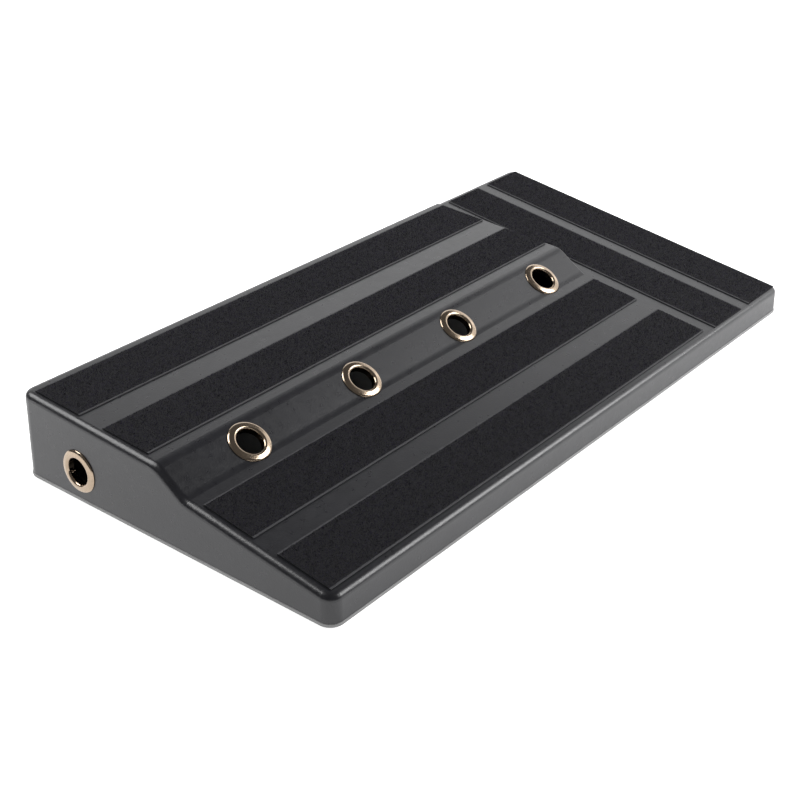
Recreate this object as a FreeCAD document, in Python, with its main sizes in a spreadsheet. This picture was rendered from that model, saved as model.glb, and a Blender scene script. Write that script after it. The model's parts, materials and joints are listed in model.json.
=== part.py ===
import FreeCAD, Part
import math
import os
import Sketcher

# Pedalboard: one moulded shell with a raised deck, a closed underside, cable eyelets and loop tape.
# Frame: origin under the middle of the outline, on the floor. +X player's right, +Y back, +Z up.
# All sizes are in millimetres.

doc = FreeCAD.newDocument("pedalboard")
sheet = doc.addObject("Spreadsheet::Sheet", "sizes")

# ---------------------------------------------------------------- driving sizes
SIZES = [
    ("overall_width", 695.0, "outline along X"),
    ("overall_depth", 340.0, "outline along Y"),
    ("foot_standoff", 2.0, "gap between floor and base plate"),
    ("base_thickness", 3.0, "base plate"),
    ("corner_radius", 12.0, "vertical corners"),
    ("rim_reveal", 0.5, "base plate stands out past the shell"),
    ("wall_thickness", 3.0, "shell walls and roof"),
    ("draft_deg", 1.1, "mould draft of the walls"),
    ("platform_front_height", 27.7, "platform plane above the floor at the front edge"),
    ("platform_back_height", 80.06, "platform plane above the floor at the back edge"),
    ("deck_back_height", 80.9, "deck plane above the floor at the back edge"),
    ("deck_slope", 0.067, "rise per run of the deck"),
    ("deck_right_x", 203.9, "right end of the raised deck"),
    ("ramp_foot_y", -21.5, "ramp meets platform"),
    ("ramp_top_y", 8.0, "ramp meets deck"),
    ("foot_blend", 4.0, "tangent length of the hollow at the ramp foot"),
    ("blend_sink", 0.1, "the hollow's front edge dips under the platform, so the two forms cross"),
    ("crest_radius", 18.0, "round at the ramp top"),
    ("edge_radius", 6.0, "round along the top outer edges"),
    ("step_radius", 2.2, "round along the deck's right edge"),
    ("wide_tape", 54.5, "rear deck strip and front-to-back strips"),
    ("narrow_tape", 52.3, "the other three strips"),
    ("strip_thickness", 2.0, "loop tape with its pile"),
    ("strip_left_x", -338.3, "left end of the long strips"),
    ("strip_right_x", 200.4, "right end of the long strips"),
    ("strip_corner", 2.0, "cut corners of the strips"),
    ("pedal_front_y", -165.0, "front end of the front-to-back strips"),
    ("pedal_back_y", 159.6, "back end of the front-to-back strips"),
    ("pedal_left_x", 215.9, "left edge of the inner front-to-back strip"),
    ("pedal_right_x", 285.7, "left edge of the outer front-to-back strip"),
    ("deck_rear_y", 102.3, "front edge of the rear deck strip"),
    ("deck_front_y", 23.2, "front edge of the front deck strip"),
    ("low_rear_y", -86.3, "front edge of the rear platform strip"),
    ("low_front_y", -161.0, "front edge of the front platform strip"),
    ("eyelet_first_x", -261.5, "leftmost ramp eyelet"),
    ("eyelet_pitch", 136.3, "between ramp eyelets"),
    ("eyelet_up_ramp", 15.3, "ramp foot to eyelet axis, along the ramp"),
    ("flange_radius", 18.7, "eyelet flange"),
    ("bore_radius", 11.6, "clear hole of an eyelet"),
    ("barrel_wall", 1.0, "eyelet barrel"),
    ("hole_slack", 0.2, "shell hole around the barrel"),
    ("washer_radius", 16.5, "backing washer"),
    ("washer_thickness", 0.8, "backing washer"),
    ("side_eyelet_y", 100.0, "eyelet in the left wall"),
    ("side_eyelet_z", 30.2, "eyelet in the left wall"),
    ("screw_inset", 13.5, "screw axis in from the outline"),
    ("screw_mid_x", 111.0, "inner screws"),
    ("screw_side_y", 20.0, "screws half way along the ends"),
    ("post_radius", 6.0, "screw post"),
    ("screw_shank_radius", 1.6, "screw shank"),
    ("screw_head_radius", 3.6, "screw head"),
    ("screw_length", 14.0, "screw overall"),
    ("foot_radius", 10.0, "rubber foot"),
    ("foot_recess", 0.8, "foot pocket in the base plate"),
    ("foot_x", 300.0, "outer feet"),
    ("foot_y", 138.0, "front and rear feet"),
]

DERIVED = [
    ("platform_slope", "(platform_back_height - platform_front_height) / overall_depth"),
    ("rim_z", "foot_standoff + base_thickness"),
    ("half_width", "overall_width / 2"),
    ("half_depth", "overall_depth / 2"),
    ("form_height", "deck_back_height + 30"),
    ("cavity_top_x", "deck_right_x - wall_thickness"),
    ("platform_zero", "platform_front_height + platform_slope * half_depth"),
    ("deck_zero", "deck_back_height - deck_slope * half_depth"),
    ("foot_z", "platform_zero + platform_slope * ramp_foot_y"),
    ("top_z", "deck_zero + deck_slope * ramp_top_y"),
    ("ramp_run", "ramp_top_y - ramp_foot_y"),
    ("ramp_slope", "(top_z - foot_z) / ramp_run"),
    ("platform_len", "sqrt(1 + platform_slope * platform_slope)"),
    ("deck_len", "sqrt(1 + deck_slope * deck_slope)"),
    ("ramp_len", "sqrt(1 + ramp_slope * ramp_slope)"),
    ("blend_front_y", "ramp_foot_y - foot_blend / platform_len"),
    ("blend_front_z", "foot_z - foot_blend * platform_slope / platform_len - blend_sink"),
    ("blend_back_y", "ramp_foot_y + foot_blend / ramp_len"),
    ("blend_back_z", "foot_z + foot_blend * ramp_slope / ramp_len"),
    ("roof_platform", "platform_zero - wall_thickness * platform_len"),
    ("roof_deck", "deck_zero - wall_thickness * deck_len"),
    ("roof_ramp", "foot_z - ramp_slope * ramp_foot_y - wall_thickness * ramp_len"),
    ("roof_foot_y", "(roof_platform - roof_ramp) / (ramp_slope - platform_slope)"),
    ("roof_foot_z", "roof_platform + platform_slope * roof_foot_y"),
    ("roof_top_y", "(roof_deck - roof_ramp) / (ramp_slope - deck_slope)"),
    ("roof_top_z", "roof_deck + deck_slope * roof_top_y"),
    ("reach_y", "half_depth + 10"),
    ("barrel_radius", "bore_radius + barrel_wall"),
    ("shell_hole_radius", "bore_radius + barrel_wall + hole_slack"),
    ("eyelet_y", "ramp_foot_y + eyelet_up_ramp / ramp_len"),
    ("eyelet_z", "foot_z + eyelet_up_ramp * ramp_slope / ramp_len"),
    ("side_eyelet_x", "rim_reveal - half_width + (side_eyelet_z - rim_z) * tan(draft_deg * 1 deg)"),
]

row = 1
for alias, value, note in SIZES:
    sheet.set("A%d" % row, alias)
    sheet.set("B%d" % row, str(value))
    sheet.set("C%d" % row, note)
    sheet.setAlias("B%d" % row, alias)
    row += 1
for alias, formula in DERIVED:
    sheet.set("A%d" % row, alias)
    sheet.set("B%d" % row, "=" + formula)
    sheet.setAlias("B%d" % row, alias)
    row += 1
workings = doc.addObject("Spreadsheet::Sheet", "workings")
doc.recompute()


def size(alias):
    return float(sheet.get(alias))


def bound(text):
    """Turn a formula in the sheet's own names into an expression for another object."""
    out = ""
    word = ""
    for ch in text + " ":
        if ch.isalnum() or ch == "_":
            word += ch
            continue
        if word and not word[0].isdigit() and word not in ("mm", "deg", "atan", "tan", "sqrt"):
            word = "sizes." + word
        out += word + ch
        word = ""
    return out.strip()


# ---------------------------------------------------------------- helpers
def new_body(name):
    body = doc.addObject("PartDesign::Body", name)
    body.Label = name
    return body


def new_sketch(body, name, role):
    sketch = doc.addObject("Sketcher::SketchObject", name)
    body.addObject(sketch)
    for plane in body.Origin.OriginFeatures:
        if plane.Role == role:
            sketch.AttachmentSupport = [(plane, "")]
    sketch.MapMode = "FlatFace"
    return sketch


def evaluate(text):
    """Value of a formula in the sheet's names."""
    workings.set("A1", "=" + bound(text))
    workings.recompute()
    return float(workings.get("A1"))


def pin_point(sketch, geo, pos, x_text, z_text):
    for kind, text in (("DistanceX", x_text), ("DistanceY", z_text)):
        if text == "0":
            axis = -2 if kind == "DistanceX" else -1
            sketch.addConstraint(Sketcher.Constraint("PointOnObject", geo, pos, axis))
            continue
        value = evaluate(text)
        index = sketch.addConstraint(Sketcher.Constraint(kind, -1, 1, geo, pos, value))
        sketch.setExpression("Constraints[%d]" % index, "(" + bound(text) + ") * 1 mm")


def outline(body, name, role, points, arcs=()):
    """Closed outline through named points. arcs lists the segments that are tangent arcs."""
    sketch = new_sketch(body, name, role)
    flat = [FreeCAD.Vector(evaluate(a), evaluate(b), 0) for a, b in points]
    count = len(points)
    for i in range(count):
        start = flat[i]
        end = flat[(i + 1) % count]
        if i in arcs:
            after = flat[(i + 2) % count] - end
            after.normalize()
            side = FreeCAD.Vector(-after.y, after.x, 0)
            chord = start - end
            radius = chord.dot(chord) / (2 * chord.dot(side))
            middle = end + side * radius
            circle = Part.Circle(middle, FreeCAD.Vector(0, 0, 1), abs(radius))
            a0 = math.atan2(start.y - middle.y, start.x - middle.x)
            a1 = math.atan2(end.y - middle.y, end.x - middle.x)
            sketch.addGeometry(Part.ArcOfCircle(circle, a0, a1), False)
        else:
            sketch.addGeometry(Part.LineSegment(start, end), False)
    for i in range(count):
        meeting = "Tangent" if i in arcs else "Coincident"
        sketch.addConstraint(Sketcher.Constraint(meeting, i, 2, (i + 1) % count, 1))
    for i, (a, b) in enumerate(points):
        pin_point(sketch, i, 1, a, b)
    return sketch


def rectangle(x0, x1, y0, y1):
    return [(x0, y0), (x1, y0), (x1, y1), (x0, y1)]


def pad(body, sketch, length, offset="", midplane=False, taper=""):
    feature = doc.addObject("PartDesign::Pad", body.Name + "_pad")
    body.addObject(feature)
    feature.Profile = sketch
    feature.setExpression("Length", "(" + bound(length) + ") * 1 mm")
    feature.Midplane = midplane
    if taper:
        feature.setExpression("TaperAngle", "-(" + bound(taper) + ") * 1 deg")
    if offset:
        sketch.setExpression("AttachmentOffset.Base.z", "(" + bound(offset) + ") * 1 mm")
    doc.recompute()
    return feature


def revolve(body, sketch):
    feature = doc.addObject("PartDesign::Revolution", body.Name + "_turned")
    body.addObject(feature)
    feature.Profile = sketch
    feature.ReferenceAxis = (sketch, ["V_Axis"])
    feature.Angle = 360
    doc.recompute()
    return feature


def round_edges(body, base, radius, wanted):
    """Fillet the edges of base that wanted(edge) picks."""
    names = []
    for i, edge in enumerate(base.Shape.Edges):
        if wanted(edge):
            names.append("Edge%d" % (i + 1))
    feature = doc.addObject("PartDesign::Fillet", body.Name + "_round_%d" % len(body.Group))
    body.addObject(feature)
    feature.Base = (base, names)
    feature.setExpression("Radius", "(" + bound(radius) + ") * 1 mm")
    doc.recompute()
    return feature


def along(edge, axis):
    """True when a straight edge runs mostly along the axis number."""
    if len(edge.Vertexes) != 2:
        return False
    span = edge.Vertexes[1].Point - edge.Vertexes[0].Point
    return abs(span[axis]) > 0.9 * span.Length and span.Length > 0.5


def place(item, x="", y="", z="", axis=None, angle=""):
    for letter, text in (("x", x), ("y", y), ("z", z)):
        if text:
            item.setExpression("Placement.Base." + letter, "(" + bound(text) + ") * 1 mm")
    if axis is not None:
        item.Placement = FreeCAD.Placement(item.Placement.Base, FreeCAD.Rotation(axis, 1))
        item.setExpression("Placement.Rotation.Angle", bound(angle))


def linked(source, name, **where):
    link = doc.addObject("App::Link", name)
    link.LinkedObject = source
    place(link, **where)
    return link


def group_of(name, items):
    compound = doc.addObject("Part::Compound", name)
    compound.Links = items
    return compound


def join(name, kind, first, second):
    feature = doc.addObject(kind, name)
    feature.Base = first
    feature.Tool = second
    feature.Refine = False
    doc.recompute()
    return feature


def fuse(name, items):
    feature = doc.addObject("Part::MultiFuse", name)
    feature.Shapes = items
    doc.recompute()
    return feature


X_AXIS = FreeCAD.Vector(1, 0, 0)
Y_AXIS = FreeCAD.Vector(0, 1, 0)
RAMP_TURN = "atan(ramp_slope)"
SIDE_TURN = "draft_deg * 1 deg - 90 deg"


# ---------------------------------------------------------------- shell forms
def walled_form(name, inset, radius):
    """Drafted block inside the outline, standing on the shell's rim."""
    body = new_body(name)
    corners = rectangle("%s - half_width" % inset, "half_width - %s" % inset,
                        "%s - half_depth" % inset, "half_depth - %s" % inset)
    sketch = outline(body, name + "_outline", "XY_Plane", corners)
    block = pad(body, sketch, "form_height", offset="rim_z", taper="draft_deg")
    round_edges(body, block, radius, lambda edge: along(edge, 2))
    return body


def profile_form(name, points, arcs, length, offset="", midplane=False):
    """A side profile carried along X."""
    body = new_body(name)
    sketch = outline(body, name + "_profile", "YZ_Plane", points, arcs)
    pad(body, sketch, length, offset=offset, midplane=midplane)
    return body


def platform_points(level):
    return [("-reach_y", "1"), ("reach_y", "1"),
            ("reach_y", "%s + platform_slope * reach_y" % level),
            ("-reach_y", "%s - platform_slope * reach_y" % level)]


shell_walls = walled_form("shell_walls", "rim_reveal", "corner_radius - rim_reveal")
platform_profile = profile_form("platform_profile", platform_points("platform_zero"), (),
                                "overall_width + 40", midplane=True)
deck_profile = profile_form(
    "deck_profile",
    [("blend_front_y", "1"), ("blend_front_y", "blend_front_z"), ("blend_back_y", "blend_back_z"),
     ("ramp_top_y", "top_z"), ("reach_y", "deck_zero + deck_slope * reach_y"), ("reach_y", "1")],
    (1,), "deck_right_x + half_width + 20", offset="-half_width - 20")


def crest(edge):
    middle = edge.CenterOfMass
    level = abs(middle.y - size("ramp_top_y")) + abs(middle.z - size("top_z"))
    return along(edge, 0) and level < 0.1


round_edges(deck_profile, deck_profile.Tip, "crest_radius", crest)

platform_form = join("platform_form", "Part::Common", shell_walls, platform_profile)
deck_form = join("deck_form", "Part::Common", shell_walls, deck_profile)


def round_solid(name, base, picks):
    """Fillet a plain solid. picks is a list of (alias of the radius, wanted(edge))."""
    feature = doc.addObject("Part::Fillet", name)
    feature.Base = base
    edges = []
    for alias, wanted in picks:
        for i, edge in enumerate(base.Shape.Edges):
            if wanted(edge):
                edges.append((i + 1, size(alias), size(alias)))
    feature.Edges = edges
    doc.recompute()
    return feature


def top_rim(edge):
    """Edges between a wall and the roof, away from the base and the vertical corners."""
    low = min(v.Point.z for v in edge.Vertexes)
    return low > size("rim_z") + 5 and not along(edge, 2)


def on_step(edge):
    return all(abs(v.Point.x - size("deck_right_x")) < 0.01 for v in edge.Vertexes)


def on_blend_front(edge):
    return all(abs(v.Point.y - size("blend_front_y")) < 0.01 for v in edge.Vertexes)


def across_roof(edge):
    """A crease inside the roof, running along X between the two ends."""
    middle = edge.CenterOfMass
    return along(edge, 0) and abs(middle.y) < size("half_depth") - 12


platform_round = round_solid("platform_round", platform_form, [("edge_radius", top_rim)])
deck_round = round_solid("deck_round", deck_form, [
    ("edge_radius", lambda e: top_rim(e) and not on_step(e) and not across_roof(e)
     and not on_blend_front(e)),
    ("step_radius", lambda e: top_rim(e) and on_step(e))])
outer_form = join("outer_form", "Part::Fuse", platform_round, deck_round)

# ---------------------------------------------------------------- shell cavity
cavity_walls = walled_form("cavity_walls", "(rim_reveal + wall_thickness)",
                           "corner_radius - rim_reveal - wall_thickness")
cavity_platform = profile_form("cavity_platform", platform_points("roof_platform"), (),
                               "overall_width + 40", midplane=True)
cavity_deck = profile_form(
    "cavity_deck",
    [("roof_foot_y", "1"), ("roof_foot_y", "roof_foot_z"), ("roof_top_y", "roof_top_z"),
     ("reach_y", "roof_deck + deck_slope * reach_y"), ("reach_y", "1")],
    (), "cavity_top_x + half_width + 20", offset="-half_width - 20")
cavity_roof = fuse("cavity_roof", [cavity_platform, cavity_deck])
cavity = join("cavity", "Part::Common", cavity_walls, cavity_roof)
shell_blank = join("shell_blank", "Part::Cut", outer_form, cavity)

# ---------------------------------------------------------------- screw posts
post_tool = doc.addObject("Part::Cylinder", "post_tool")
post_tool.setExpression("Radius", "sizes.post_radius * 1 mm")
post_tool.setExpression("Height", "sizes.form_height * 1 mm")
pilot_tool = doc.addObject("Part::Cylinder", "pilot_tool")
pilot_tool.setExpression("Radius", "(sizes.screw_shank_radius + 0.05) * 1 mm")
pilot_tool.setExpression("Height", "(sizes.screw_length + 1) * 1 mm")

OUT_X = "half_width - screw_inset"
OUT_Y = "half_depth - screw_inset"
SCREWS = [("-(%s)" % OUT_X, "-(%s)" % OUT_Y), ("-screw_mid_x", "-(%s)" % OUT_Y),
          ("screw_mid_x", "-(%s)" % OUT_Y), (OUT_X, "-(%s)" % OUT_Y),
          ("-(%s)" % OUT_X, "screw_side_y"), (OUT_X, "screw_side_y"),
          ("-(%s)" % OUT_X, OUT_Y), ("-screw_mid_x", OUT_Y), ("screw_mid_x", OUT_Y), (OUT_X, OUT_Y)]


def at_screws(source, name, level):
    links = []
    for i, (x, y) in enumerate(SCREWS):
        links.append(linked(source, "%s_%02d" % (name, i + 1), x=x, y=y, z=level))
    return links


post_blanks = group_of("post_blanks", at_screws(post_tool, "post", "1"))
post_bodies = join("post_bodies", "Part::Common", post_blanks, cavity)
pilot_holes = group_of("pilot_holes", at_screws(pilot_tool, "pilot", "foot_standoff"))
screw_posts = join("screw_posts", "Part::Cut", post_bodies, pilot_holes)

# ---------------------------------------------------------------- eyelet seats
EYELETS = []
for i in range(4):
    EYELETS.append(("ramp_%d" % (i + 1), dict(
        x="eyelet_first_x + %d * eyelet_pitch" % i, y="eyelet_y", z="eyelet_z",
        axis=X_AXIS, angle=RAMP_TURN)))
EYELETS.append(("side", dict(x="side_eyelet_x", y="side_eyelet_y", z="side_eyelet_z",
                             axis=Y_AXIS, angle=SIDE_TURN)))

seat_body = new_body("seat_tool")
seat_sketch = outline(seat_body, "seat_tool_profile", "XZ_Plane",
                      [("0", "-2 * wall_thickness"), ("shell_hole_radius", "-2 * wall_thickness"),
                       ("shell_hole_radius", "0"), ("flange_radius + 0.3", "0"),
                       ("flange_radius + 0.3", "wall_thickness"), ("0", "wall_thickness")])
revolve(seat_body, seat_sketch)
seats = [linked(seat_body, "seat_" + name, **where) for name, where in EYELETS]
shell_holes = group_of("shell_holes", seats)
top_shell = join("top_shell", "Part::Cut", shell_blank, shell_holes)

# ---------------------------------------------------------------- base plate
plate_body = new_body("plate_blank")
plate_sketch = outline(plate_body, "plate_outline", "XY_Plane",
                       rectangle("-half_width", "half_width", "-half_depth", "half_depth"))
plate = pad(plate_body, plate_sketch, "base_thickness", offset="foot_standoff")
plate = round_edges(plate_body, plate, "corner_radius", lambda e: along(e, 2))
plate = round_edges(plate_body, plate, "rim_reveal", lambda e: not along(e, 2))

sink_body = new_body("sink_tool")
sink_sketch = outline(sink_body, "sink_profile", "XZ_Plane",
                      [("0", "-1"), ("screw_head_radius", "-1"), ("screw_head_radius", "0"),
                       ("screw_shank_radius + 0.4", "screw_head_radius - screw_shank_radius"),
                       ("screw_shank_radius + 0.4", "base_thickness + 1"),
                       ("0", "base_thickness + 1")])
revolve(sink_body, sink_sketch)
foot_tool = doc.addObject("Part::Cylinder", "foot_tool")
foot_tool.setExpression("Radius", "(sizes.foot_radius + 0.2) * 1 mm")
foot_tool.setExpression("Height", "(sizes.foot_standoff + sizes.foot_recess) * 1 mm")
FEET = [("front_left", "-foot_x", "-foot_y"), ("front_middle", "0", "-foot_y"),
        ("front_right", "foot_x", "-foot_y"), ("rear_left", "-foot_x", "foot_y"),
        ("rear_middle", "0", "foot_y"), ("rear_right", "foot_x", "foot_y")]
plate_cuts = at_screws(sink_body, "sink", "foot_standoff")
for name, x, y in FEET:
    plate_cuts.append(linked(foot_tool, "pocket_" + name, x=x, y=y))
plate_holes = group_of("plate_holes", plate_cuts)
base_plate = join("base_plate", "Part::Cut", plate_body, plate_holes)

# ---------------------------------------------------------------- fasteners and feet
screw_body = new_body("screw")
screw_sketch = outline(screw_body, "screw_profile", "XZ_Plane",
                       [("0", "0"), ("screw_head_radius", "0"),
                        ("screw_shank_radius", "screw_head_radius - screw_shank_radius"),
                        ("screw_shank_radius", "screw_length - 1.5"),
                        ("0", "screw_length")])
revolve(screw_body, screw_sketch)
recess = doc.addObject("Part::Prism", "recess_tool")
recess.Polygon = 6
recess.setExpression("Circumradius", "sizes.screw_shank_radius * 0.8 * 1 mm")
recess.Height = 1.4
recess.Placement.Base = FreeCAD.Vector(0, 0, -0.4)
screw_cut = join("screw_cut", "Part::Cut", screw_body, recess)
base_screws = group_of("base_screws", at_screws(screw_cut, "base_screw", "foot_standoff"))

feet = []
for name, x, y in FEET:
    body = new_body("foot_" + name)
    sketch = outline(body, body.Name + "_profile", "XZ_Plane",
                     [("0", "0"), ("foot_radius - 1", "0"),
                      ("foot_radius", "foot_standoff"),
                      ("foot_radius", "foot_standoff + foot_recess"),
                      ("0", "foot_standoff + foot_recess")])
    revolve(body, sketch)
    place(body, x=x, y=y)
    feet.append(body)


# ---------------------------------------------------------------- eyelets and washers
def eyelet(name, where):
    """Domed flange on the shell, barrel through it, end rolled over the washer."""
    body = new_body("eyelet_" + name)
    back = "-wall_thickness - washer_thickness"
    face = "(flange_radius - bore_radius)"
    points = [("bore_radius", back + " - 0.5"), ("bore_radius + 0.6", back + " - 1.1"),
              ("barrel_radius + 1.6", back + " - 1.1"), ("barrel_radius + 2.2", back + " - 0.6"),
              ("barrel_radius + 2", back), ("barrel_radius", back), ("barrel_radius", "0.01"),
              ("flange_radius - 1.8", "0.01"), ("flange_radius - 1.6", "0.25"),
              ("flange_radius", "0.25"), ("flange_radius", "0.6"),
              ("flange_radius - 0.3 * " + face, "1.95"), ("bore_radius + 0.4 * " + face, "2.4"),
              ("bore_radius", "0.2")]
    sketch = outline(body, body.Name + "_profile", "XZ_Plane", points, (10, 12))
    revolve(body, sketch)
    place(body, **where)
    return body


def washer(name, where):
    body = new_body("washer_" + name)
    points = rectangle("barrel_radius + 0.1", "washer_radius",
                       "-wall_thickness - washer_thickness", "-wall_thickness")
    sketch = outline(body, body.Name + "_profile", "XZ_Plane", points)
    revolve(body, sketch)
    place(body, **where)
    return body


eyelets = [eyelet(name, where) for name, where in EYELETS]
washers = [washer(name, where) for name, where in EYELETS]


# ---------------------------------------------------------------- loop tape
def strip(name, x0, x1, y, zero, slope, run):
    """A strip lying on a sloping plane. run is its size up the slope."""
    body = new_body("loop_strip_" + name)
    sketch = outline(body, body.Name + "_outline", "XY_Plane", rectangle(x0, x1, "0", run))
    block = pad(body, sketch, "strip_thickness")
    round_edges(body, block, "strip_corner", lambda e: along(e, 2))
    place(body, y=y, z="%s + %s * (%s)" % (zero, slope, y), axis=X_AXIS, angle="atan(%s)" % slope)
    return body


LONG = ("strip_left_x", "strip_right_x")
PEDAL_RUN = "(pedal_back_y - pedal_front_y) * platform_len"
strips = [
    strip("deck_rear", *LONG, "deck_rear_y", "deck_zero", "deck_slope", "wide_tape"),
    strip("deck_front", *LONG, "deck_front_y", "deck_zero", "deck_slope", "narrow_tape"),
    strip("low_rear", *LONG, "low_rear_y", "platform_zero", "platform_slope", "narrow_tape"),
    strip("low_front", *LONG, "low_front_y", "platform_zero", "platform_slope", "narrow_tape"),
    strip("pedal_left", "pedal_left_x", "pedal_left_x + wide_tape", "pedal_front_y",
          "platform_zero", "platform_slope", PEDAL_RUN),
    strip("pedal_right", "pedal_right_x", "pedal_right_x + wide_tape", "pedal_front_y",
          "platform_zero", "platform_slope", PEDAL_RUN),
]

# ---------------------------------------------------------------- check and export
doc.recompute()
for item in doc.Objects:
    state = [s for s in item.State if s in ("Invalid", "Error")]
    if state:
        raise RuntimeError("%s: %s" % (item.Name, state))

nodes = [top_shell, screw_posts, base_plate, base_screws] + feet + eyelets + washers + strips
os.makedirs("parts", exist_ok=True)
for node in nodes:
    shape = node.Shape
    if shape.isNull() or not shape.isValid():
        raise RuntimeError("bad shape: " + node.Label)
    wanted = len(SCREWS) if node in (base_screws, screw_posts) else 1
    if len(shape.Solids) != wanted:
        raise RuntimeError("wrong number of solids: " + node.Label)
    shape.exportStep("parts/%s.step" % node.Label)
    print(node.Label, len(shape.Solids), "solids", round(shape.Volume / 1000, 2), "cm3")
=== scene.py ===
import json
import math

import bmesh
import bpy
from bpy.props import FloatProperty, FloatVectorProperty, IntProperty, PointerProperty
from mathutils import Matrix, Vector


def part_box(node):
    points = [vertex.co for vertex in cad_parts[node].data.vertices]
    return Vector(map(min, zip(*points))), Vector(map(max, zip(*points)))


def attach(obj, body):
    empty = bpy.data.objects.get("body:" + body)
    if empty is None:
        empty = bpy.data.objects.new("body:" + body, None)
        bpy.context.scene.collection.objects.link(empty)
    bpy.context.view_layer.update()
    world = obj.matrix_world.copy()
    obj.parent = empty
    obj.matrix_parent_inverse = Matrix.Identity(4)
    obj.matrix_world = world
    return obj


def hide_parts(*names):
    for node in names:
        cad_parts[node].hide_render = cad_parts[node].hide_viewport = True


bl_info = {
    "name": "Pedalboard",
    "version": (1, 0, 0),
    "blender": (4, 5, 0),
    "location": "3D View > Sidebar > Pedalboard",
    "description": "Finishes and loop tape for a moulded pedalboard",
    "category": "Object",
}

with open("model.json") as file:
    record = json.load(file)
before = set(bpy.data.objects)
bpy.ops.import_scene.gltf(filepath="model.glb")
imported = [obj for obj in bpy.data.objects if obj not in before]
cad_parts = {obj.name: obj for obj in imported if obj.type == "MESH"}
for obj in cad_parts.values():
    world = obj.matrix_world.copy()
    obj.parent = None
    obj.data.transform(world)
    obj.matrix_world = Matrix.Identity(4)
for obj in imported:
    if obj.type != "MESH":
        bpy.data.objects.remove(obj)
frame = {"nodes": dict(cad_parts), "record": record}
NODES = frame["nodes"]
MOUNTS = {m["name"]: m for m in frame["record"]["mounts"]}
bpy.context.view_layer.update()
MM = 0.001
STRIPS = ("deck_rear", "deck_front", "low_rear", "low_front", "pedal_left", "pedal_right")
EYELETS = ("ramp_1", "ramp_2", "ramp_3", "ramp_4", "side")
FEET = ("front_left", "front_middle", "front_right", "rear_left", "rear_middle", "rear_right")
STRIP_THICKNESS = 2.0 * MM
EDGE_ROUND = 0.25 * MM
PILE_SINK = 0.1 * MM
FLOOR_SIZE = 12.0


# ------------------------------------------------------------------ settings
def colour(name, text, default):
    return FloatVectorProperty(name=name, description=text, subtype="COLOR", size=3,
                               min=0.0, max=1.0, default=default)


def length(name, text, default):
    return FloatProperty(name=name, description=text, unit="LENGTH", min=0.0, default=default)


def share(name, text, default):
    return FloatProperty(name=name, description=text, subtype="FACTOR", min=0.0, max=1.0,
                         default=default)


def radiance(name, text, default):
    return FloatProperty(name=name, description=text, min=0.0, default=default)


class ShellSettings(bpy.types.PropertyGroup):
    plastic: colour("Plastic", "Colour of the moulded shell", (0.008, 0.008, 0.0105))
    gloss_rough: share("Roughness", "Roughness of the moulded skin", 0.30)
    grain: length("Grain", "Size of one cell of the leather grain", 1.1 * MM)
    grain_depth: length("Grain depth", "Height of the leather grain", 0.05 * MM)
    base: colour("Base", "Colour of the base plate", (0.2, 0.2, 0.2))
    rubber: colour("Rubber", "Colour of the feet", (0.02, 0.02, 0.02))
    steel: colour("Screws", "Colour of the blackened screws", (0.08, 0.08, 0.085))


class EyeletSettings(bpy.types.PropertyGroup):
    nickel: colour("Nickel", "Warm plate on the eyelets", (0.35, 0.275, 0.205))
    washer: colour("Washer", "Plain brass of the washers", (0.55, 0.43, 0.24))
    polish: share("Roughness", "Roughness of the plate", 0.16)


class TapeSettings(bpy.types.PropertyGroup):
    yarn: colour("Yarn", "Colour of the loops", (0.0074, 0.0061, 0.0132))
    ground: colour("Ground", "Colour of the woven ground", (0.006, 0.006, 0.007))
    # Painted highlight: the loop-free selvedge gets a colour about five times lighter than the
    # ground and loops, standing in for light caught on the tape's raised rim.
    edge: colour("Edge", "Colour of the woven edge with no loops", (0.032, 0.032, 0.035))
    ground_height: length("Ground", "Thickness of the woven ground and its adhesive", 1.0 * MM)
    selvedge: length("Selvedge", "Woven edge with no loops", 1.6 * MM)
    pitch: length("Loop pitch", "Distance between loops", 1.15 * MM)
    loop_span: length("Loop span", "Width of one loop at its feet", 1.0 * MM)
    yarn_width: length("Yarn width", "Width of the flattened yarn", 0.42 * MM)
    seed: IntProperty(name="Seed", description="Start of the random spread", default=7, min=0)


class StageSettings(bpy.types.PropertyGroup):
    camera_from: FloatVectorProperty(name="Camera place", description="Where the camera stands",
                                     unit="LENGTH", size=3, default=(-0.94797, -0.71819, 0.63175))
    azimuth: FloatProperty(name="Azimuth", description="Turn of the camera round the board",
                           subtype="ANGLE", default=math.radians(-50.948))
    depression: FloatProperty(name="Downward tilt", description="Camera tilt below level",
                              subtype="ANGLE", default=math.radians(28.619))
    roll: FloatProperty(name="Roll", description="Camera roll", subtype="ANGLE",
                        default=math.radians(0.109))
    lens: FloatProperty(name="Lens", description="Focal length in millimetres", default=64.75,
                        min=10.0)
    floor: colour("Floor", "Colour of the floor", (0.9, 0.9, 0.9))
    table: FloatProperty(name="Light table", description="Light coming up through the floor",
                         default=0.8, min=0.0)
    room: FloatProperty(name="Room", description="Radiance of the dim room", default=0.15, min=0.0)
    left_box: radiance("Left soft box", "Radiance of the soft box behind on the left", 7.0)
    right_box: radiance("Right soft box", "Radiance of the soft box in front on the right", 9.5)
    backdrop: radiance("Backdrop", "Radiance of the white backdrop", 1.5)
    side_wall: radiance("Side wall", "Radiance of the white wall at the right", 1.35)
    backdrop_distance: length("Backdrop distance", "From the board to the backdrop", 1.6)
    backdrop_height: length("Backdrop height", "Height of the backdrop", 1.35)
    side_height: length("Side wall height", "Height of the wall at the right", 1.9)


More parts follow.
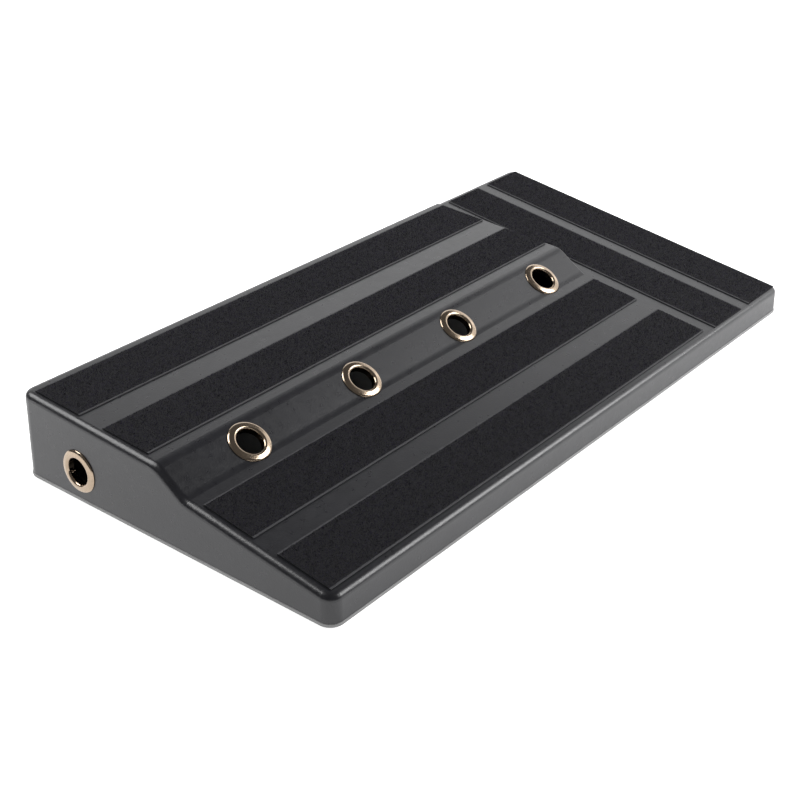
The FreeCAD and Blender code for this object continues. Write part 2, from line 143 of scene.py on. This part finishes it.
# ------------------------------------------------------------------ materials
class Look:
    """A node material with short ways to add and join nodes."""

    def __init__(self, name):
        self.mat = bpy.data.materials.new(name)
        self.mat.use_nodes = True
        self.tree = self.mat.node_tree
        self.shader = self.tree.nodes["Principled BSDF"]
        self.coords = self.node("ShaderNodeTexCoord").outputs["Object"]

    def node(self, kind, **settings):
        made = self.tree.nodes.new(kind)
        for key, value in settings.items():
            setattr(made, key, value)
        return made

    def link(self, source, target):
        self.tree.links.new(source, target)

    def surface(self, base, rough, metal=0.0, specular=0.5, **more):
        self.shader.inputs["Base Color"].default_value = (*base, 1.0)
        self.shader.inputs["Roughness"].default_value = rough
        self.shader.inputs["Metallic"].default_value = metal
        self.shader.inputs["Specular IOR Level"].default_value = specular
        for key, value in more.items():
            self.shader.inputs[key.replace("_", " ")].default_value = value

    def noise(self, size, detail=2.0, rough=0.5):
        grain = self.node("ShaderNodeTexNoise")
        grain.inputs["Scale"].default_value = 1.0 / size
        grain.inputs["Detail"].default_value = detail
        grain.inputs["Roughness"].default_value = rough
        self.link(self.coords, grain.inputs["Vector"])
        return grain.outputs["Fac"]

    def cells(self, size):
        cell = self.node("ShaderNodeTexVoronoi", feature="SMOOTH_F1")
        cell.inputs["Scale"].default_value = 1.0 / size
        self.link(self.coords, cell.inputs["Vector"])
        return cell.outputs["Distance"]

    def spread(self, source, low, high, out_low, out_high):
        band = self.node("ShaderNodeMapRange")
        for key, value in (("From Min", low), ("From Max", high),
                           ("To Min", out_low), ("To Max", out_high)):
            band.inputs[key].default_value = value
        self.link(source, band.inputs["Value"])
        return band.outputs["Result"]

    def tint(self, source, dark, light):
        mix = self.node("ShaderNodeMix", data_type="RGBA")
        mix.inputs["A"].default_value = (*dark, 1.0)
        mix.inputs["B"].default_value = (*light, 1.0)
        self.link(source, mix.inputs["Factor"])
        self.link(mix.outputs["Result"], self.shader.inputs["Base Color"])

    def bump(self, source, depth, after=None):
        lift = self.node("ShaderNodeBump")
        lift.inputs["Strength"].default_value = 1.0
        lift.inputs["Distance"].default_value = depth
        self.link(source, lift.inputs["Height"])
        if after is not None:
            self.link(after, lift.inputs["Normal"])
        self.link(lift.outputs["Normal"], self.shader.inputs["Normal"])
        return lift.outputs["Normal"]


def scaled(rgb, factor):
    return tuple(min(1.0, c * factor) for c in rgb)


def moulded_plastic(name, base, rough, grain, depth):
    """Satin skin with a leather grain, slightly uneven in tone and gloss."""
    look = Look(name)
    look.surface(base, rough)
    haze = look.noise(0.035, 3.0)
    look.tint(look.spread(haze, 0.35, 0.65, 0.0, 1.0), scaled(base, 0.9), scaled(base, 1.12))
    fine = look.noise(grain * 0.8, 2.0, 0.55)
    look.link(look.spread(look.noise(0.006, 3.0), 0.3, 0.7, rough - 0.03, rough + 0.04),
              look.shader.inputs["Roughness"])
    first = look.bump(look.cells(grain), depth)
    look.bump(fine, depth * 0.6, first)
    return look.mat


def plate_metal(name, base, rough):
    """Plated metal with faint handling wear."""
    look = Look(name)
    look.surface(base, rough, metal=1.0)
    wear = look.noise(0.0025, 4.0, 0.6)
    look.tint(look.spread(wear, 0.35, 0.7, 0.0, 1.0), scaled(base, 0.92), scaled(base, 1.05))
    look.link(look.spread(look.noise(0.0012, 3.0), 0.3, 0.7, rough - 0.03, rough + 0.06),
              look.shader.inputs["Roughness"])
    look.bump(look.noise(0.004, 2.0), 0.01 * MM)
    return look.mat


def rubber(name, base):
    look = Look(name)
    look.surface(base, 0.75, specular=0.3)
    look.bump(look.noise(0.0009, 3.0), 0.05 * MM)
    return look.mat


def yarn(name, base):
    """Dull yarn, darker and lighter in clumps."""
    look = Look(name)
    look.surface(base, 0.8, specular=0.1, Sheen_Weight=0.13, Sheen_Roughness=0.4)
    look.shader.inputs["Sheen Tint"].default_value = (0.78, 0.68, 1.0, 1.0)
    clump = look.noise(0.0045, 3.0, 0.6)
    look.tint(look.spread(clump, 0.35, 0.65, 0.0, 1.0), scaled(base, 0.2), scaled(base, 2.3))
    return look.mat


def weave(name, base, rough, specular):
    """Close-woven thread seen from afar."""
    look = Look(name)
    look.surface(base, rough, specular=specular)
    threads = look.noise(0.0008, 2.0)
    look.tint(threads, scaled(base, 0.7), scaled(base, 1.5))
    look.bump(threads, 0.12 * MM)
    return look.mat


def coat(node, material):
    """Give a carried-over CAD node its finish."""
    obj = NODES[node]
    obj.data.materials.clear()
    obj.data.materials.append(material)


# ------------------------------------------------------------------ loop tape
def strip_axes(name):
    """Middle of the strip's underside, the ways along, across and up, and its two sizes."""
    mount = MOUNTS[name + "_loop"]
    up = Vector(mount["axis"]).normalized()
    right = Vector((1.0, 0.0, 0.0))
    back = up.cross(right).normalized()
    low, high = (Vector(c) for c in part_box("loop_strip_" + name))
    wide = high.x - low.x
    deep = ((high.y - low.y) - STRIP_THICKNESS * abs(up.y)) / back.y
    middle = Vector(mount["pos_m"]) - up * STRIP_THICKNESS
    if wide >= deep:
        return middle, right, back, up, wide, deep
    return middle, back, -right, up, deep, wide


def in_strip(axes):
    middle, along, across, up = axes[:4]
    turn = Matrix((along, across, up)).transposed().to_4x4()
    return Matrix.Translation(middle) @ turn


def ground_mesh(name, long_side, short_side, height, selvedge):
    """Woven ground with rounded corners. Material 0 lies under the loops, 1 along the edges, with a
    painted highlight in its lighter colour.
    """
    bm = bmesh.new()
    half = short_side / 2
    profile = [(-half, 0.05 * MM), (-half, height * 0.75), (-half + EDGE_ROUND, height),
               (-half + selvedge, height), (half - selvedge, height),
               (half - EDGE_ROUND, height), (half, height * 0.75), (half, 0.05 * MM),
               (half - 0.1 * MM, 0.0), (-half + 0.1 * MM, 0.0)]
    under_pile = 3
    corner = [(0.0, 0.6 * MM), (0.2 * MM, 0.2 * MM), (0.6 * MM, 0.0)]
    steps = int(long_side / (4.0 * MM))
    rows = [(inward - long_side / 2, tuck) for inward, tuck in corner]
    rows += [(long_side * (i / steps - 0.5), 0.0) for i in range(1, steps)]
    rows += [(long_side / 2 - inward, tuck) for inward, tuck in reversed(corner)]
    rings = []
    for x, tuck in rows:
        squeeze = (half - tuck) / half
        rings.append([bm.verts.new((x, y * squeeze, z)) for y, z in profile])
    count = len(profile)
    for a, b in zip(rings, rings[1:]):
        for j in range(count):
            k = (j + 1) % count
            face = bm.faces.new((a[j], b[j], b[k], a[k]))
            face.material_index = 0 if j == under_pile else 1
    bm.faces.new(rings[0])
    bm.faces.new(list(reversed(rings[-1])))
    bmesh.ops.recalc_face_normals(bm, faces=bm.faces)
    mesh = bpy.data.meshes.new(name)
    bm.to_mesh(mesh)
    bm.free()
    return mesh


def loop_mesh(name, span, height, width):
    """One loop of flattened yarn: a small arch, leaning a little."""
    bm = bmesh.new()
    rows = []
    for i in range(5):
        angle = math.pi * i / 4
        x = -math.cos(angle) * span / 2
        z = math.sin(angle) * height
        y = math.sin(angle) * width * 0.5
        rows.append([bm.verts.new((x, y - width / 2, z)), bm.verts.new((x, y + width / 2, z))])
    for a, b in zip(rows, rows[1:]):
        bm.faces.new((a[0], b[0], b[1], a[1]))
    mesh = bpy.data.meshes.new(name)
    bm.to_mesh(mesh)
    bm.free()
    return mesh


def pile_tree(name, loop, material):
    """Loops spread over a rectangle with jitter, turn and lean, matted in clumps."""
    tree = bpy.data.node_groups.new(name, "GeometryNodeTree")
    face = tree.interface
    ids = {}
    for label, kind in (("Long side", "NodeSocketFloat"), ("Short side", "NodeSocketFloat"),
                        ("Pitch", "NodeSocketFloat"), ("Seed", "NodeSocketInt")):
        ids[label] = face.new_socket(label, in_out="INPUT", socket_type=kind).identifier
    face.new_socket("Geometry", in_out="OUTPUT", socket_type="NodeSocketGeometry")
    new = tree.nodes.new
    link = tree.links.new
    inputs = new("NodeGroupInput")
    output = new("NodeGroupOutput")

    def math_node(kind, a, b):
        node = new("ShaderNodeMath")
        node.operation = kind
        for socket, value in zip(node.inputs, (a, b)):
            if isinstance(value, (int, float)):
                socket.default_value = value
            else:
                link(value, socket)
        return node.outputs[0]

    pitch = inputs.outputs["Pitch"]
    seed = inputs.outputs["Seed"]
    grid = new("GeometryNodeMeshGrid")
    link(inputs.outputs["Long side"], grid.inputs["Size X"])
    link(inputs.outputs["Short side"], grid.inputs["Size Y"])
    link(math_node("DIVIDE", inputs.outputs["Long side"], pitch), grid.inputs["Vertices X"])
    link(math_node("DIVIDE", inputs.outputs["Short side"], pitch), grid.inputs["Vertices Y"])

    def random(kind, low, high, offset):
        node = new("FunctionNodeRandomValue")
        node.data_type = kind
        sockets = [s for s in node.inputs if s.enabled]
        sockets[0].default_value = low
        sockets[1].default_value = high
        link(math_node("ADD", seed, offset), node.inputs["Seed"])
        return [s for s in node.outputs if s.enabled][0]

    reach = new("ShaderNodeVectorMath")
    reach.operation = "SCALE"
    link(random("FLOAT_VECTOR", (-0.5, -0.5, 0.0), (0.5, 0.5, 0.0), 1), reach.inputs[0])
    link(pitch, reach.inputs["Scale"])
    shift = new("GeometryNodeSetPosition")
    link(grid.outputs["Mesh"], shift.inputs["Geometry"])
    link(reach.outputs[0], shift.inputs["Offset"])

    source = new("GeometryNodeObjectInfo")
    source.inputs["Object"].default_value = loop
    spread = new("GeometryNodeInstanceOnPoints")
    link(shift.outputs["Geometry"], spread.inputs["Points"])
    link(source.outputs["Geometry"], spread.inputs["Instance"])
    turn = new("FunctionNodeEulerToRotation")
    link(random("FLOAT_VECTOR", (-0.5, -0.5, 0.0), (0.5, 0.5, math.tau), 2), turn.inputs[0])
    link(turn.outputs[0], spread.inputs["Rotation"])

    where = new("GeometryNodeInputPosition")
    clump = new("ShaderNodeTexNoise")
    clump.inputs["Scale"].default_value = 1.0 / (4.5 * MM)
    clump.inputs["Detail"].default_value = 2.0
    link(where.outputs[0], clump.inputs["Vector"])
    band = new("ShaderNodeMapRange")
    for label, value in (("From Min", 0.3), ("From Max", 0.7), ("To Min", 0.6), ("To Max", 1.0)):
        band.inputs[label].default_value = value
    link(clump.outputs["Fac"], band.inputs["Value"])
    size = math_node("MULTIPLY", band.outputs["Result"], random("FLOAT", 0.8, 1.0, 3))
    link(size, spread.inputs["Scale"])

    real = new("GeometryNodeRealizeInstances")
    link(spread.outputs["Instances"], real.inputs["Geometry"])
    dress = new("GeometryNodeSetMaterial")
    dress.inputs["Material"].default_value = material
    link(real.outputs["Geometry"], dress.inputs["Geometry"])
    link(dress.outputs["Geometry"], output.inputs[0])
    return tree, ids


def from_modifier(obj):
    """Turn the evaluated object into a plain mesh and drop the modifier."""
    graph = bpy.context.evaluated_depsgraph_get()
    made = bpy.data.meshes.new_from_object(obj.evaluated_get(graph))
    obj.modifiers.clear()
    obj.data = made
    return obj


# ------------------------------------------------------------------ operators
class PEDALBOARD_OT_shell(bpy.types.Operator):
    """Give the moulded shell and the underside their finishes"""
    bl_idname = "pedalboard.shell"
    bl_label = "Shell and underside"

    def execute(self, context):
        s = context.scene.pedalboard_shell
        coat("top_shell", moulded_plastic("moulded_shell", s.plastic, s.gloss_rough, s.grain,
                                          s.grain_depth))
        coat("base_plate", moulded_plastic("base_sheet", s.base, 0.55, 0.7 * MM, 0.03 * MM))
        coat("screw_posts", rubber("post_rod", s.base))
        coat("base_screws", plate_metal("black_screws", s.steel, 0.35))
        feet = rubber("foot_rubber", s.rubber)
        for name in FEET:
            coat("foot_" + name, feet)
        return {"FINISHED"}


class PEDALBOARD_OT_eyelets(bpy.types.Operator):
    """Give the cable eyelets and their washers their plate"""
    bl_idname = "pedalboard.eyelets"
    bl_label = "Eyelets"

    def execute(self, context):
        s = context.scene.pedalboard_eyelets
        nickel = plate_metal("warm_nickel", s.nickel, s.polish)
        brass = plate_metal("washer_brass", s.washer, 0.3)
        for name in EYELETS:
            coat("eyelet_" + name, nickel)
            coat("washer_" + name, brass)
        return {"FINISHED"}


class PEDALBOARD_OT_loop_tape(bpy.types.Operator):
    """Weave the six strips of loop tape and stand their loops on them"""
    bl_idname = "pedalboard.loop_tape"
    bl_label = "Loop tape"

    def execute(self, context):
        s = context.scene.pedalboard_tape
        ground_look = weave("woven_ground", s.ground, 0.7, 0.2)
        # The selvedge material carries a painted highlight: its lighter colour stands in for light
        # caught along the tape's rim.
        edge_highlight_look = weave("woven_edge_highlight", s.edge, 0.6, 0.3)
        yarn_look = yarn("loop_yarn", s.yarn)
        height = STRIP_THICKNESS - s.ground_height
        loop = bpy.data.objects.new("loop_pattern", loop_mesh("loop_pattern", s.loop_span, height,
                                                              s.yarn_width))
        tree, ids = pile_tree("loop_pile", loop, yarn_look)
        for i, name in enumerate(STRIPS):
            axes = strip_axes(name)
            place = in_strip(axes)
            long_side, short_side = axes[4], axes[5]
            mesh = ground_mesh("tape_ground_" + name, long_side, short_side, s.ground_height,
                               s.selvedge)
            mesh.transform(place)
            mesh.materials.append(ground_look)
            mesh.materials.append(edge_highlight_look)
            ground = bpy.data.objects.new("tape_ground_" + name, mesh)
            context.collection.objects.link(ground)

            pile = bpy.data.objects.new("tape_pile_" + name, bpy.data.meshes.new("pile"))
            context.collection.objects.link(pile)
            grow = pile.modifiers.new("pile", "NODES")
            grow.node_group = tree
            inset = s.selvedge + s.loop_span / 2
            grow[ids["Long side"]] = long_side - s.loop_span * 1.2
            grow[ids["Short side"]] = short_side - 2 * inset
            grow[ids["Pitch"]] = s.pitch
            grow[ids["Seed"]] = s.seed + 10 * i
            from_modifier(pile)
            lift = Matrix.Translation((0, 0, s.ground_height - PILE_SINK))
            pile.data.transform(place @ lift)
            for piece in (ground, pile):
                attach(piece, "root")
            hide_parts("loop_strip_" + name)
            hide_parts("loop_strip_" + name)
        bpy.data.objects.remove(loop)
        return {"FINISHED"}


class PEDALBOARD_OT_stage(bpy.types.Operator):
    """Set the floor, the soft lights and the camera"""
    bl_idname = "pedalboard.stage"
    bl_label = "Stage"

    def execute(self, context):
        s = context.scene.pedalboard_stage
        bm = bmesh.new()
        bmesh.ops.create_grid(bm, x_segments=1, y_segments=1, size=FLOOR_SIZE)
        mesh = bpy.data.meshes.new("floor")
        bm.to_mesh(mesh)
        bm.free()
        look = Look("pale_floor")
        look.surface(s.floor, 0.6, specular=0.2, Emission_Strength=s.table)
        look.shader.inputs["Emission Color"].default_value = (1, 1, 1, 1)
        mesh.materials.append(look.mat)
        floor = bpy.data.objects.new("floor", mesh)
        context.collection.objects.link(floor)

        world = bpy.data.worlds.new("room")
        world.use_nodes = True
        world.node_tree.nodes["Background"].inputs["Color"].default_value = (1, 1, 1, 1)
        world.node_tree.nodes["Background"].inputs["Strength"].default_value = s.room
        context.scene.world = world

        lamp("left_box", (-0.80, 1.10, 1.46), (0, 0, 0), (1.2, 1.2), s.left_box)
        lamp("right_box", (1.15, -1.32, 1.05), (0, 0, 0), (1.2, 1.0), s.right_box)
        for name, turn, width, height, light in (
                ("backdrop", 90.0, 3.4, s.backdrop_height, s.backdrop),
                ("side_wall", 26.0, 1.3, s.side_height, s.side_wall)):
            way = s.azimuth + math.radians(turn)
            away = Vector((math.cos(way), math.sin(way), 0.0)) * s.backdrop_distance
            rise = Vector((0, 0, height / 2))
            lamp(name, away + rise, rise, (width, height), light)

        camera = bpy.data.objects.new("camera", bpy.data.cameras.new("camera"))
        context.collection.objects.link(camera)
        camera.data.sensor_width = 36.0
        camera.data.lens = s.lens
        turn = (Matrix.Rotation(s.azimuth, 4, "Z")
                @ Matrix.Rotation(math.pi / 2 - s.depression, 4, "X")
                @ Matrix.Rotation(s.roll, 4, "Z"))
        camera.matrix_world = Matrix.Translation(s.camera_from) @ turn
        context.scene.camera = camera
        context.scene.view_settings.view_transform = "Standard"
        return {"FINISHED"}


def lamp(name, place, target, size, radiance):
    """A flat light at place that faces target."""
    data = bpy.data.lights.new(name, "AREA")
    data.shape = "RECTANGLE"
    data.size, data.size_y = size
    data.energy = radiance * math.pi * size[0] * size[1]
    obj = bpy.data.objects.new(name, data)
    bpy.context.collection.objects.link(obj)
    aim = Vector(target) - Vector(place)
    obj.matrix_world = Matrix.Translation(place) @ aim.to_track_quat("-Z", "Y").to_matrix().to_4x4()
    return obj


class PEDALBOARD_PT_panel(bpy.types.Panel):
    """Settings and steps for the pedalboard"""
    bl_idname = "PEDALBOARD_PT_panel"
    bl_label = "Pedalboard"
    bl_space_type = "VIEW_3D"
    bl_region_type = "UI"
    bl_category = "Pedalboard"

    def draw(self, context):
        for step, settings in STEPS:
            box = self.layout.box()
            box.operator(step.bl_idname)
            group = getattr(context.scene, settings)
            for name in group.__annotations__:
                box.prop(group, name)


STEPS = (
    (PEDALBOARD_OT_shell, "pedalboard_shell"),
    (PEDALBOARD_OT_eyelets, "pedalboard_eyelets"),
    (PEDALBOARD_OT_loop_tape, "pedalboard_tape"),
    (PEDALBOARD_OT_stage, "pedalboard_stage"),
)
GROUPS = (
    ("pedalboard_shell", ShellSettings),
    ("pedalboard_eyelets", EyeletSettings),
    ("pedalboard_tape", TapeSettings),
    ("pedalboard_stage", StageSettings),
)


def register():
    for name, group in GROUPS:
        bpy.utils.register_class(group)
        setattr(bpy.types.Scene, name, PointerProperty(type=group))
    for step, _ in STEPS:
        bpy.utils.register_class(step)
    bpy.utils.register_class(PEDALBOARD_PT_panel)


def unregister():
    bpy.utils.unregister_class(PEDALBOARD_PT_panel)
    for step, _ in reversed(STEPS):
        bpy.utils.unregister_class(step)
    for name, group in reversed(GROUPS):
        delattr(bpy.types.Scene, name)
        bpy.utils.unregister_class(group)


def main():
    register()
    bpy.ops.pedalboard.shell()
    bpy.ops.pedalboard.eyelets()
    bpy.ops.pedalboard.loop_tape()
    bpy.ops.pedalboard.stage()


if __name__ == "__main__":
    main()
